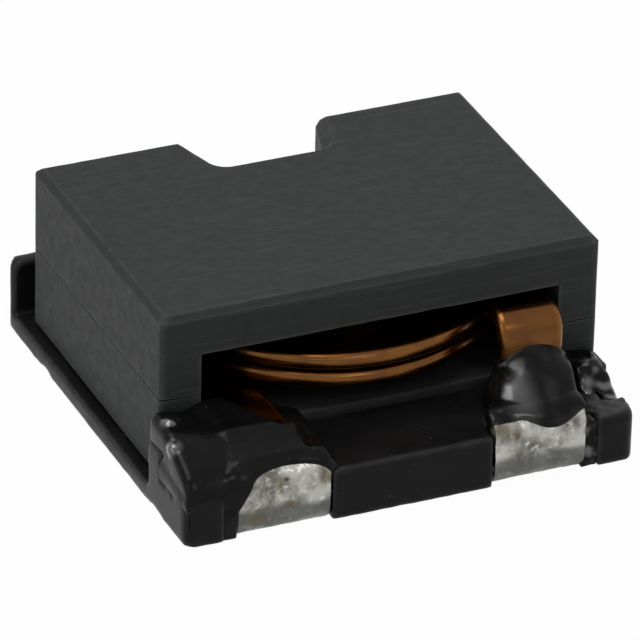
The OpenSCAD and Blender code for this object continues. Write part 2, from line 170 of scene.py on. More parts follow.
def solid_copy(node, name):
    """A merged copy of one CAD solid, in millimetres while it is worked on."""
    piece = bpy.data.objects.new(name, bpy.data.meshes.new(name))
    scene.collection.objects.link(piece)
    bm = bmesh.new()
    bm.from_mesh(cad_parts[node].data)
    bmesh.ops.scale(bm, vec=(1000, 1000, 1000), verts=bm.verts)
    bmesh.ops.remove_doubles(bm, verts=bm.verts, dist=0.0005)
    bm.to_mesh(piece.data)
    bm.free()
    return piece


def made_plain(piece):
    """The piece's mesh with its modifiers worked in; they are then taken off."""
    bpy.context.view_layer.update()
    mesh = bpy.data.meshes.new_from_object(
        piece.evaluated_get(bpy.context.evaluated_depsgraph_get()))
    piece.modifiers.clear()
    return mesh


crisp_depth, crisp_fill, crisp_angle = 7, 0.99, math.radians(24)


def reskinned(piece, voxel, relaxing):
    """Gives the piece an even skin of small faces: softened by a voxel size, or crisp by 0."""
    skin = piece.modifiers.new("skin", "REMESH")
    if voxel:
        skin.mode, skin.voxel_size = "VOXEL", voxel
    else:
        skin.mode, skin.sharpness, skin.use_remove_disconnected = "SHARP", 1.0, False
        skin.octree_depth, skin.scale = crisp_depth, crisp_fill
    relax = piece.modifiers.new("relax", "SMOOTH")
    relax.factor, relax.iterations = 0.5, relaxing
    piece.data = made_plain(piece)
    piece.data.name = piece.name
    return piece.data


def points_of(mesh, kind="co"):
    """The place of each point of a mesh, one row each."""
    flat = np.empty(len(mesh.vertices) * 3, np.float32)
    mesh.vertices.foreach_get(kind, flat)
    return flat.reshape(-1, 3).astype(float)


def normals_of(mesh):
    """The way the surface faces at each point."""
    return points_of(mesh, "normal")


def place_points(mesh, co):
    """Moves each point of a mesh to its new place."""
    mesh.vertices.foreach_set("co", co.astype(np.float32).ravel())
    mesh.update()


def ripple(co, size, seed, gain=1.6):
    """Smooth random values from about -1 to 1, with features of that size in millimetres."""
    k = 1 / size
    return np.array([noise.noise((x * k + seed, y * k - seed, z * k + 2 * seed))
                     for x, y, z in co]) * gain


def near(co, centre, reach):
    """1 at a place, falling smoothly to 0 at a distance."""
    d = np.linalg.norm((co - np.array(centre)) / np.array(reach), axis=1)
    u = np.clip(1 - d, 0, 1)
    return u * u * (3 - 2 * u)


def band(v, a, b):
    """0 below a, 1 above b, smooth between."""
    u = np.clip((v - a) / (b - a), 0, 1)
    return u * u * (3 - 2 * u)


def store(mesh, name, values):
    """Keeps a number for each point, for a material to read."""
    layer = mesh.attributes.new(name, "FLOAT", "POINT")
    layer.data.foreach_set("value", np.asarray(values, np.float32))


def edge_values(mesh, rounds=2, gain=6):
    """How far each point stands out from its neighbours, spread a little: 1 along a sharp edge."""
    co, n = points_of(mesh), normals_of(mesh)
    pairs = np.empty(len(mesh.edges) * 2, np.int32)
    mesh.edges.foreach_get("vertices", pairs)
    a, b = pairs.reshape(-1, 2).T
    count = np.bincount(a, minlength=len(co)) + np.bincount(b, minlength=len(co))

    def around(v):
        """The mean of each point's neighbours."""
        return (np.bincount(a, v[b], len(co)) + np.bincount(b, v[a], len(co))) / count

    mean = np.stack([around(co[:, i]) for i in range(3)], 1)
    spacing = np.linalg.norm(co[a] - co[b], axis=1).mean()
    out = ((co - mean) * n).sum(1) / spacing
    for _ in range(rounds):
        out = 0.5 * out + 0.5 * around(out)
    return np.clip(out * gain, -1, 1)


def to_scale(piece, box=None, crisp=False):
    """Keeps the worked mesh inside its box and puts it back in metres."""
    mesh = piece.data
    co = points_of(mesh)
    if box:
        co = np.clip(co, np.array(box[0]) * 1000, np.array(box[1]) * 1000)
    place_points(mesh, co / 1000)
    mesh.shade_smooth()
    if crisp:
        mesh.set_sharp_from_angle(angle=crisp_angle)


def shader(name):
    """A material with one Principled shader; returns its nodes too."""
    material = bpy.data.materials.new(name)
    material.use_nodes = True
    nodes, links = material.node_tree.nodes, material.node_tree.links
    nodes.clear()
    finish = nodes.new("ShaderNodeBsdfPrincipled")
    links.new(finish.outputs[0], nodes.new("ShaderNodeOutputMaterial").inputs["Surface"])
    return material, nodes, links, finish


def blended(nodes, links, share, first, second):
    """A colour between two, which are plain colours or sockets."""
    mix = nodes.new("ShaderNodeMix")
    mix.data_type = "RGBA"
    links.new(share, mix.inputs[0])
    for socket, value in ((mix.inputs[6], first), (mix.inputs[7], second)):
        if isinstance(value, bpy.types.NodeSocket):
            links.new(value, socket)
        else:
            socket.default_value = (*value, 1)
    return mix.outputs[2]


def ranged(nodes, links, value, low, high, new_low=0.0, new_high=1.0):
    """A value moved from one range to another, and held inside it."""
    change = nodes.new("ShaderNodeMapRange")
    change.interpolation_type = "SMOOTHSTEP"
    links.new(value, change.inputs["Value"])
    change.inputs["From Min"].default_value = low
    change.inputs["From Max"].default_value = high
    change.inputs["To Min"].default_value = new_low
    change.inputs["To Max"].default_value = new_high
    return change.outputs["Result"]


def new_group(name, inputs, outputs):
    """An empty shader group with named number inputs and outputs."""
    group = bpy.data.node_groups.new(name, "ShaderNodeTree")
    for label, value in inputs.items():
        group.interface.new_socket(label, in_out="INPUT",
                                   socket_type="NodeSocketFloat").default_value = value
    for label in outputs:
        group.interface.new_socket(label, in_out="OUTPUT", socket_type="NodeSocketFloat")
    nodes = group.nodes
    return group, nodes, group.links, nodes.new("NodeGroupInput"), nodes.new("NodeGroupOutput")


def placed(nodes, group, **values):
    """One use of a shader group with its own values."""
    node = nodes.new("ShaderNodeGroup")
    node.node_tree = group
    for label, value in values.items():
        node.inputs[label.replace("_", " ")].default_value = value
    return node


def noise_of(nodes, links, where, scale, detail=3.0, roughness=0.55):
    """Cloudy noise in space."""
    tex = nodes.new("ShaderNodeTexNoise")
    links.new(where, tex.inputs["Vector"])
    if isinstance(scale, bpy.types.NodeSocket):
        links.new(scale, tex.inputs["Scale"])
    else:
        tex.inputs["Scale"].default_value = scale
    tex.inputs["Detail"].default_value = detail
    tex.inputs["Roughness"].default_value = roughness
    return tex.outputs["Fac"]


def sum_of(nodes, links, first, second, operation="ADD"):
    """Two values added, or joined by another operation."""
    node = nodes.new("ShaderNodeMath")
    node.operation = operation
    for socket, value in ((node.inputs[0], first), (node.inputs[1], second)):
        if isinstance(value, bpy.types.NodeSocket):
            links.new(value, socket)
        else:
            socket.default_value = value
    return node.outputs[0]


def stored(nodes, name):
    """The number that was kept for each point under this name."""
    node = nodes.new("ShaderNodeAttribute")
    node.attribute_name = name
    return node.outputs["Fac"]


def relief(nodes, links, finish, height, strength, depth):
    """Fine relief on a finish: how strong it is, and how deep in metres."""
    bump = nodes.new("ShaderNodeBump")
    bump.inputs["Strength"].default_value = strength
    bump.inputs["Distance"].default_value = depth
    links.new(height, bump.inputs["Height"])
    links.new(bump.outputs[0], finish.inputs["Normal"])


# Grain: a broad mottle for colour and a fine one for height, on any surface
grain, nodes, links, given, result = new_group(
    "grain", {"Broad scale": 900.0, "Fine scale": 14000.0}, ("Mottle", "Height"))
where = nodes.new("ShaderNodeTexCoord").outputs["Object"]
for label, scale, detail in (("Mottle", "Broad scale", 4.0), ("Height", "Fine scale", 2.0)):
    links.new(noise_of(nodes, links, where, given.outputs[scale], detail), result.inputs[label])

# Rubbed edges: the stored edge value, broken up by noise
rubbed, nodes, links, given, result = new_group(
    "rubbed_edges", {"Breakup scale": 2500.0, "Start": 0.15, "Full": 0.7}, ("Mask",))
where = nodes.new("ShaderNodeTexCoord").outputs["Object"]
broken = noise_of(nodes, links, where, given.outputs["Breakup scale"], 3.0)
centred = sum_of(nodes, links, broken, 0.5, "SUBTRACT")
uneven = sum_of(nodes, links, stored(nodes, "edge"), sum_of(nodes, links, centred, 0.9, "MULTIPLY"))
change = nodes.new("ShaderNodeMapRange")
links.new(uneven, change.inputs["Value"])
links.new(given.outputs["Start"], change.inputs["From Min"])
links.new(given.outputs["Full"], change.inputs["From Max"])
links.new(change.outputs["Result"], result.inputs["Mask"])

# Specks: small far-apart spots of dust or filler
specks, nodes, links, given, result = new_group(
    "specks", {"Scale": 3000.0, "Size": 0.10}, ("Mask",))
where = nodes.new("ShaderNodeTexCoord").outputs["Object"]
cells = nodes.new("ShaderNodeTexVoronoi")
links.new(where, cells.inputs["Vector"])
links.new(given.outputs["Scale"], cells.inputs["Scale"])
spot = nodes.new("ShaderNodeMath")
spot.operation = "LESS_THAN"
links.new(cells.outputs["Distance"], spot.inputs[0])
links.new(given.outputs["Size"], spot.inputs[1])
links.new(spot.outputs[0], result.inputs["Mask"])

# From here on sizes are in millimetres, in the frame that the solids are drawn in
base_skin, block_level = 0.085, 1.60
post_front, dip_front = -4.70, -5.60
dip_side, dip_level = (5.6, 5.8), (1.0, 1.2)
nose_front, nose_side, nose_level = (5.5, 5.7), (5.4, 5.6), (1.35, 1.5)
base = solid_copy("base", "base_moulding")
mesh = reskinned(base, base_skin, 2)
co, n = points_of(mesh), normals_of(mesh)
edge = edge_values(mesh)
top = band(n[:, 2], 0.6, 0.9)
dip = (band(co[:, 1], dip_front - 0.1, dip_front + 0.1)
       * (1 - band(co[:, 1], post_front, post_front + 0.15))
       * band(abs(co[:, 0]), *dip_side) * band(co[:, 2], *dip_level))
nose = (band(-co[:, 1], *nose_front) * band(abs(co[:, 0]), *nose_side)
        * band(co[:, 2], *nose_level))
rough_spots = np.clip(dip + nose, 0, 1)
height = (0.006 * ripple(co, 1.7, 3) - 0.010 * np.clip(edge, 0, 1) * (1 + ripple(co, 0.35, 7))
          + rough_spots * (0.035 * ripple(co, 0.22, 11) + 0.02 * ripple(co, 0.11, 5) - 0.03))
place_points(mesh, co + n * height[:, None])
store(mesh, "edge", edge)
# Up-facing parts of the rough spots: their own grey together with a painted sheen of the top light
store(mesh, "trimmed_and_sheen", rough_spots * top)
to_scale(base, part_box("base"))

brown_black, cool_black = (0.0050, 0.0048, 0.0046), (0.0090, 0.0090, 0.0094)
# trimmed_and_sheen_grey is partly a painted sheen on the tops of the rough spots
rubbed_grey, trimmed_and_sheen_grey = (0.030, 0.030, 0.031), (0.038, 0.038, 0.039)
dust_grey = (0.06, 0.06, 0.058)
plastic, nodes, links, finish = shader("base_plastic")
g = placed(nodes, grain, Broad_scale=700.0, Fine_scale=16000.0)
wear = placed(nodes, rubbed, Breakup_scale=1800.0, Start=0.25, Full=1.0)
dust = placed(nodes, specks, Scale=2600.0, Size=0.06)
colour = blended(nodes, links, g.outputs["Mottle"], brown_black, cool_black)
colour = blended(nodes, links, wear.outputs["Mask"], colour, rubbed_grey)
# Lighter grey on the tops of the rough spots, partly painted sheen
colour = blended(nodes, links, stored(nodes, "trimmed_and_sheen"), colour, trimmed_and_sheen_grey)
colour = blended(nodes, links, dust.outputs["Mask"], colour, dust_grey)
links.new(colour, finish.inputs["Base Color"])
links.new(ranged(nodes, links, g.outputs["Mottle"], 0.3, 0.7, 0.26, 0.42),
          finish.inputs["Roughness"])
finish.inputs["IOR"].default_value = 1.20
relief(nodes, links, finish, g.outputs["Height"], 0.35, 0.00001)
base.data.materials.append(plastic)
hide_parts("base")
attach(base, "root")

# ---------------------------------------------------------- ferrite halves
# Two pressed and fired halves in dark grey ferrite, ground on their mating
# faces and tumbled, so the outer edges are bevelled and worn lighter. A thin
# film of adhesive holds leg to leg.
pressed_grey, pale_grey = (0.0275, 0.0290, 0.0284), (0.0325, 0.0342, 0.0336)
cloud_grey, streak_grey = (0.0298, 0.0312, 0.0306), (0.040, 0.0415, 0.0408)
grit_grey, worn_grey = (0.019, 0.0197, 0.0193), (0.052, 0.054, 0.052)
streak_scale = (350, 9000, 9000)
ceramic, nodes, links, finish = shader("ferrite")
g = placed(nodes, grain, Broad_scale=420.0, Fine_scale=11000.0)
cloud = placed(nodes, grain, Broad_scale=2600.0, Fine_scale=30000.0)
wear = placed(nodes, rubbed, Breakup_scale=1400.0, Start=0.18, Full=0.85)
grit = placed(nodes, specks, Scale=5200.0, Size=0.13)
colour = blended(nodes, links, g.outputs["Mottle"], pressed_grey, pale_grey)
colour = blended(nodes, links, ranged(nodes, links, cloud.outputs["Mottle"], 0.35, 0.75),
                 colour, cloud_grey)
drawn_out = nodes.new("ShaderNodeVectorMath")
drawn_out.operation = "MULTIPLY"
drawn_out.inputs[1].default_value = streak_scale
links.new(nodes.new("ShaderNodeTexCoord").outputs["Object"], drawn_out.inputs[0])
streaks = noise_of(nodes, links, drawn_out.outputs[0], 1.0, 2.0)
colour = blended(nodes, links, ranged(nodes, links, streaks, 0.52, 0.75), colour, streak_grey)
colour = blended(nodes, links, grit.outputs["Mask"], colour, grit_grey)
colour = blended(nodes, links, wear.outputs["Mask"], colour, worn_grey)
links.new(colour, finish.inputs["Base Color"])
links.new(ranged(nodes, links, cloud.outputs["Mottle"], 0.3, 0.7, 0.50, 0.62),
          finish.inputs["Roughness"])
finish.inputs["IOR"].default_value = 1.21
tall = sum_of(nodes, links, g.outputs["Height"],
              sum_of(nodes, links, cloud.outputs["Height"], 0.5, "MULTIPLY"))
relief(nodes, links, finish, tall, 0.5, 0.000012)

for number, node in enumerate(("lower_core", "upper_core")):
    half = solid_copy(node, node + "_ferrite")
    mesh = reskinned(half, 0, 0)
    co, n = points_of(mesh), normals_of(mesh)
    edge = edge_values(mesh)
    sharp = np.clip(edge, 0, 1)
    pits = np.clip(ripple(co, 0.45, 17 + number) - 0.75, 0, 1)
    chips = np.clip(ripple(co, 0.5, 29 + number), 0, 1)
    height = (0.003 * ripple(co, 2.5, 23 + number) - 0.012 * sharp * chips
              - 0.012 * pits * sharp)
    place_points(mesh, co + n * height[:, None])
    store(mesh, "edge", edge)
    to_scale(half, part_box(node), crisp=True)
    half.data.materials.append(ceramic)
    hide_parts(node)
    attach(half, "root")

glue_black, glue_grey = (0.010, 0.010, 0.010), (0.022, 0.021, 0.020)
film, nodes, links, finish = shader("core_adhesive")
g = placed(nodes, grain, Broad_scale=1500.0, Fine_scale=9000.0)
links.new(blended(nodes, links, g.outputs["Mottle"], glue_black, glue_grey),
          finish.inputs["Base Color"])
links.new(ranged(nodes, links, g.outputs["Height"], 0.3, 0.7, 0.25, 0.45),
          finish.inputs["Roughness"])
for node in ("left_bond", "right_bond"):
    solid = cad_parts[node]
    solid.data.materials.clear()
    solid.data.materials.append(film)

# ----------------------------------------------------------------- winding
# Flat enamelled copper wire wound on edge, two and a half turns. Its lower
# lead runs straight out on the left, its upper one drops in front of the
# coil on the right, and both are flattened over the block and folded under.
wire_wide, wire_thick = 1.85, 0.50
end_wide, end_thick = 2.55, 0.32
terminal_x, core_shift = 3.70, 0.20
core_front, core_middle = -3.75, 0.80
coil_middle = 4.075
turns, rise, coil_level = 2.5, 0.55, 2.26
lean_out = 0.05
over_level, over_front, plain_front = 1.86, -5.88, -4.88
taper_start = over_front + 0.01
end_front, pad_level, pad_tip = -6.28, 0.22, -4.68
bend, fold, drop_bend, knee_bend = 0.40, 0.35, 0.50, 0.50


def ease(v, a, b):
    """The same as band, for one number."""
    u = min(1, max(0, (v - a) / (b - a)))
    return u * u * (3 - 2 * u)


def arc(y, z, r, start, end, steps):
    """Points round a bend, by its centre, radius and two angles in degrees."""
    return [(y + r * math.cos(math.radians(start + (end - start) * i / steps)),
             z + r * math.sin(math.radians(start + (end - start) * i / steps)))
            for i in range(steps + 1)]


def straight(p, q, steps):
    """Points between two ends, without the ends themselves."""
    return [(p[0] + (q[0] - p[0]) * i / steps, p[1] + (q[1] - p[1]) * i / steps)
            for i in range(1, steps)]


def lead_station(p, side):
    """One station of a lead: place, direction across the wire, width, thickness."""
    y, z = p
    k = 0 if z < block_level else ease(y, taper_start, plain_front)
    lean = lean_out * ease(y, core_front + 0.8, core_middle)
    x = side * terminal_x + (core_shift + side * (coil_middle - terminal_x)) * k
    return ((x, y, z - side * lean), (side, 0, 0),
            end_wide + (wire_wide - end_wide) * k, end_thick + (wire_thick - end_thick) * k)


def coil_station(turn):
    """One station of the coil, counted in turns from the left lead."""
    a = 2 * math.pi * turn
    return ((core_shift - coil_middle * math.cos(a), core_middle + coil_middle * math.sin(a),
             coil_level + rise * turn), (-math.cos(a), math.sin(a), 0), wire_wide, wire_thick)


end_view = ([(pad_tip, pad_level)]
            + arc(end_front + fold, pad_level + fold, fold, 270, 180, 14)
            + straight((end_front, pad_level + fold), (end_front, over_level - bend), 6)
            + arc(over_front, over_level - bend, bend, 180, 90, 14))
left_level = coil_level - lean_out
left_view = (end_view
             + [(y, over_level + (left_level - over_level) * ease(y, taper_start, plain_front))
                for y in (over_front + (plain_front - over_front) * i / 16 for i in range(1, 17))]
             + straight((plain_front, left_level), (core_middle, left_level), 40))
right_level = coil_level + turns * rise + lean_out
drop_front, drop_level = core_front - 0.1, right_level - drop_bend
drop_y = drop_front - drop_bend
swell = (wire_thick - end_thick) / 2
knee_front, knee_level = drop_y - knee_bend, over_level + swell + knee_bend
right_view = (end_view
              + [(y, over_level + swell * ease(y, taper_start, plain_front))
                 for y in (over_front + (knee_front - over_front) * i / 12 for i in range(1, 12))]
              + arc(knee_front, knee_level, knee_bend, 270, 360, 12)
              + straight((drop_y, knee_level), (drop_y, drop_level), 8)
              + arc(drop_front, drop_level, drop_bend, 180, 90, 16)
              + straight((drop_front, right_level), (core_middle, right_level), 40))
coil_steps = 112
stations = ([lead_station(p, -1) for p in left_view]
            + [coil_station(i / coil_steps) for i in range(int(coil_steps * turns) + 1)]
            + [lead_station(p, 1) for p in reversed(right_view)])

line = bpy.data.meshes.new("wire_path")
centres = np.array([s[0] for s in stations]) / 1000
line.from_pydata(centres.tolist(), [(i, i + 1) for i in range(len(centres) - 1)], [])
ahead = np.vstack([centres[1:], centres[-1:]]) - np.vstack([centres[:1], centres[:-1]])
ahead /= np.linalg.norm(ahead, axis=1)[:, None]
across = np.array([s[1] for s in stations], float)
lift = np.cross(ahead, across)
lift /= np.linalg.norm(lift, axis=1)[:, None]
for label, values in (("across", across), ("lift", lift), ("centre", centres)):
    line.attributes.new(label, "FLOAT_VECTOR", "POINT").data.foreach_set(
        "vector", values.astype(np.float32).ravel())
run = np.concatenate([[0], np.cumsum(np.linalg.norm(np.diff(centres, axis=0), axis=1))])
for label, values in (("wide", [s[2] / 1000 for s in stations]),
                      ("thick", [s[3] / 1000 for s in stations]), ("run", run)):
    line.attributes.new(label, "FLOAT", "POINT").data.foreach_set(
        "value", np.array(values, np.float32))

corner_share, corner_steps, unevenness, lump_scale = 0.42, 5, 0.000006, 900
tree = bpy.data.node_groups.new("flat_wire", "GeometryNodeTree")
tree.interface.new_socket("Path", in_out="INPUT", socket_type="NodeSocketGeometry")
for label, kind, value in (("Corner share", "NodeSocketFloat", corner_share),
                           ("Corner steps", "NodeSocketInt", corner_steps),
                           ("Unevenness", "NodeSocketFloat", unevenness)):
    tree.interface.new_socket(label, in_out="INPUT", socket_type=kind).default_value = value
tree.interface.new_socket("Enamel", in_out="INPUT", socket_type="NodeSocketMaterial")
tree.interface.new_socket("Wire", in_out="OUTPUT", socket_type="NodeSocketGeometry")
nodes, links = tree.nodes, tree.links
given, result = nodes.new("NodeGroupInput"), nodes.new("NodeGroupOutput")


def sum_in_tree(operation, first, second=None):
    """One step of arithmetic in the wire's tree."""
    node = nodes.new("ShaderNodeMath")
    node.operation = operation
    for socket, value in zip(node.inputs, (first, second)):
        if isinstance(value, bpy.types.NodeSocket):
            links.new(value, socket)
        elif value is not None:
            socket.default_value = value
    return node.outputs[0]


def held(name, kind="FLOAT"):
    """A value that the path or the section holds."""
    node = nodes.new("GeometryNodeInputNamedAttribute")
    node.data_type = kind
    node.inputs["Name"].default_value = name
    return node.outputs["Attribute"]


def kept(geometry, name, value):
    """Keeps a number at each point under a name, through the sweep."""
    node = nodes.new("GeometryNodeStoreNamedAttribute")
    node.data_type, node.domain = "FLOAT", "POINT"
    node.inputs["Name"].default_value = name
    links.new(geometry, node.inputs["Geometry"])
    links.new(value, node.inputs["Value"])
    return node.outputs["Geometry"]


# The section: four rounded corners, numbered round from the outer upper one
steps = sum_in_tree("ADD", given.outputs["Corner steps"], 1.0)
circle = nodes.new("GeometryNodeCurvePrimitiveCircle")
links.new(sum_in_tree("MULTIPLY", steps, 4.0), circle.inputs["Resolution"])
index = nodes.new("GeometryNodeInputIndex").outputs[0]
quarter = sum_in_tree("FLOOR", sum_in_tree("DIVIDE", sum_in_tree("ADD", index, 0.001), steps))
within = sum_in_tree("SUBTRACT", index, sum_in_tree("MULTIPLY", quarter, steps))
start = sum_in_tree("MULTIPLY", quarter, math.pi / 2)
angle = sum_in_tree("ADD", start, sum_in_tree(
    "MULTIPLY", sum_in_tree("DIVIDE", within, given.outputs["Corner steps"]), math.pi / 2))
middle = sum_in_tree("ADD", start, math.pi / 4)
section = circle.outputs["Curve"]
section = kept(section, "corner_x", sum_in_tree("SIGN", sum_in_tree("COSINE", middle)))
section = kept(section, "corner_z", sum_in_tree("SIGN", sum_in_tree("SINE", middle)))
section = kept(section, "round_x", sum_in_tree("COSINE", angle))
section = kept(section, "round_z", sum_in_tree("SINE", angle))

as_curve = nodes.new("GeometryNodeMeshToCurve")
links.new(given.outputs["Path"], as_curve.inputs["Mesh"])
swept = nodes.new("GeometryNodeCurveToMesh")
links.new(as_curve.outputs["Curve"], swept.inputs["Curve"])
links.new(section, swept.inputs["Profile Curve"])
swept.inputs["Fill Caps"].default_value = True
radius = sum_in_tree("MULTIPLY", held("thick"), given.outputs["Corner share"])


def reach(size, corner, around):
    """How far the section reaches one way: to a corner's centre, and on round it."""
    flat = sum_in_tree("SUBTRACT", sum_in_tree("MULTIPLY", held(size), 0.5), radius)
    return sum_in_tree("ADD", sum_in_tree("MULTIPLY", held(corner), flat),
                       sum_in_tree("MULTIPLY", held(around), radius))


def scaled(direction, amount):
    """A direction times a length."""
    node = nodes.new("ShaderNodeVectorMath")
    node.operation = "SCALE"
    links.new(direction, node.inputs[0])
    links.new(amount, node.inputs["Scale"])
    return node.outputs[0]


def added(first, second):
    """Two vectors added."""
    node = nodes.new("ShaderNodeVectorMath")
    links.new(first, node.inputs[0])
    links.new(second, node.inputs[1])
    return node.outputs[0]


offset = added(scaled(held("across", "FLOAT_VECTOR"), reach("wide", "corner_x", "round_x")),
               scaled(held("lift", "FLOAT_VECTOR"), reach("thick", "corner_z", "round_z")))
uneven = nodes.new("ShaderNodeTexNoise")
uneven.inputs["Scale"].default_value = lump_scale
lumps = sum_in_tree("MULTIPLY", sum_in_tree("SUBTRACT", uneven.outputs["Fac"], 0.5),
                    given.outputs["Unevenness"])
shaped = nodes.new("GeometryNodeSetPosition")
links.new(swept.outputs["Mesh"], shaped.inputs["Geometry"])
links.new(added(added(held("centre", "FLOAT_VECTOR"), offset),
                scaled(held("lift", "FLOAT_VECTOR"), lumps)), shaped.inputs["Position"])
rounded = nodes.new("GeometryNodeSetShadeSmooth")
links.new(shaped.outputs[0], rounded.inputs[0])
real = nodes.new("GeometryNodeRealizeInstances")
links.new(rounded.outputs[0], real.inputs[0])
coated = nodes.new("GeometryNodeSetMaterial")
links.new(real.outputs[0], coated.inputs["Geometry"])
links.new(given.outputs["Enamel"], coated.inputs["Material"])
links.new(coated.outputs[0], result.inputs["Wire"])

# The drawing lines run along the wire, by its own length and its way round
dark_copper, bright_copper = (0.085, 0.033, 0.0065), (0.205, 0.086, 0.0155)
stained_copper, amber_tint = (0.095, 0.036, 0.010), (0.95, 0.66, 0.30, 1)
enamel, nodes, links, finish = shader("enamelled_copper")
g = placed(nodes, grain, Broad_scale=1600.0, Fine_scale=9000.0)
lines_at = nodes.new("ShaderNodeCombineXYZ")
for axis, name, scale in (("X", "run", 250.0), ("Y", "round_x", 6.0), ("Z", "round_z", 6.0)):
    links.new(sum_of(nodes, links, stored(nodes, name), scale, "MULTIPLY"), lines_at.inputs[axis])
drawn = noise_of(nodes, links, lines_at.outputs[0], 2.2, 4.0)
colour = blended(nodes, links, ranged(nodes, links, drawn, 0.3, 0.7), dark_copper, bright_copper)
colour = blended(nodes, links, ranged(nodes, links, g.outputs["Mottle"], 0.45, 0.75),
                 colour, stained_copper)
links.new(colour, finish.inputs["Base Color"])
finish.inputs["Metallic"].default_value = 1.0
links.new(ranged(nodes, links, drawn, 0.3, 0.7, 0.18, 0.30), finish.inputs["Roughness"])
finish.inputs["Coat Weight"].default_value = 0.22
finish.inputs["Coat Roughness"].default_value = 0.12
finish.inputs["Coat Tint"].default_value = amber_tint
relief(nodes, links, finish, drawn, 0.4, 0.000008)

path = bpy.data.objects.new("wire_path", line)
scene.collection.objects.link(path)
wrap = path.modifiers.new("flat_wire", "NODES")
wrap.node_group = tree
sockets = {item.name: item.identifier for item in tree.interface.items_tree
           if item.in_out == "INPUT"}
wrap[sockets["Corner share"]] = corner_share
wrap[sockets["Corner steps"]] = corner_steps
wrap[sockets["Unevenness"]] = unevenness
wrap[sockets["Enamel"]] = enamel
coil = bpy.data.objects.new("flat_wire_coil", made_plain(path))
scene.collection.objects.link(coil)
bpy.data.objects.remove(path)
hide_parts("winding")
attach(coil, "root")

# ------------------------------------------------------------ solder coats
# The flattened ends were dipped in solder after winding. The coat is uneven,
# with runs, hard amber flux, and pits painted as dark spots of shade.
# The third tin colour is a painted glint
grey_tin, pale_tin, painted_glint_tin = (0.13, 0.125, 0.105), (0.42, 0.415, 0.39), (0.66, 0.66, 0.63)
# lower_dark_tin: the coat's colour towards the bottom
# pit_shade_brown is painted shade for the pits
lower_dark_tin, pit_shade_brown, flux_amber = (0.10, 0.102, 0.098), (0.03, 0.022, 0.012), (0.13, 0.095, 0.040)
solder, nodes, links, finish = shader("solder")
g = placed(nodes, grain, Broad_scale=1500.0, Fine_scale=9000.0)
fine = placed(nodes, grain, Broad_scale=4200.0, Fine_scale=22000.0)
stain = stored(nodes, "flux")
colour = blended(nodes, links, ranged(nodes, links, g.outputs["Mottle"], 0.35, 0.65),
                 grey_tin, pale_tin)
# The brightest spots of the fine mottle are painted glints
colour = blended(nodes, links, ranged(nodes, links, fine.outputs["Mottle"], 0.52, 0.78),
                 colour, painted_glint_tin)
# Darker towards the bottom, below a wavy line about 0.8 mm up
colour = blended(nodes, links, stored(nodes, "lower_darkening"), colour, lower_dark_tin)
# Painted shade: a dark brown spot where a pit's hollow would be in shade; the mesh has no hollow
# there
colour = blended(nodes, links, stored(nodes, "pit_shade"), colour, pit_shade_brown)
colour = blended(nodes, links, stain, colour, flux_amber)
links.new(colour, finish.inputs["Base Color"])
links.new(ranged(nodes, links, stain, 0.2, 0.8, 1.0, 0.15), finish.inputs["Metallic"])
links.new(ranged(nodes, links, g.outputs["Mottle"], 0.3, 0.7, 0.50, 0.24),
          finish.inputs["Roughness"])
relief(nodes, links, finish,
       sum_of(nodes, links, fine.outputs["Mottle"], g.outputs["Mottle"]), 0.7, 0.00006)


def rows_to_solid(rows):
    """A closed lump from rings of equal length, capped at both ends."""
    n, m = len(rows[0]), len(rows)
    faces = [(i * n + j, (i + 1) * n + j, (i + 1) * n + (j + 1) % n, i * n + (j + 1) % n)
             for i in range(m - 1) for j in range(n)]
    faces += [tuple(range(n))[::-1], tuple((m - 1) * n + j for j in range(n))]
    return [p for row in rows for p in row], faces


def add_part(piece, points, faces):
    """Adds a closed lump to a piece that is about to get one skin."""
    lump = bpy.data.meshes.new("lump")
    lump.from_pydata(points, [], faces)
    bm = bmesh.new()
    bm.from_mesh(lump)
    bmesh.ops.recalc_face_normals(bm, faces=bm.faces)
    bm.to_mesh(lump)
    bm.clear()
    bm.from_mesh(piece.data)
    bm.from_mesh(lump)
    bm.to_mesh(piece.data)
    bm.free()


def ball(centre, r, around=20, up_steps=10):
    """A round drop."""
    x, y, z = centre
    round_it = [2 * math.pi * j / around for j in range(around)]
    rings = []
    for i in range(up_steps + 1):
        b = math.pi * (i + 0.3) / (up_steps + 0.6)
        rings.append([(x + r * math.sin(b) * math.cos(a), y + r * math.sin(b) * math.sin(a),
                       z - r * math.cos(b)) for a in round_it])
    return rows_to_solid(rings)


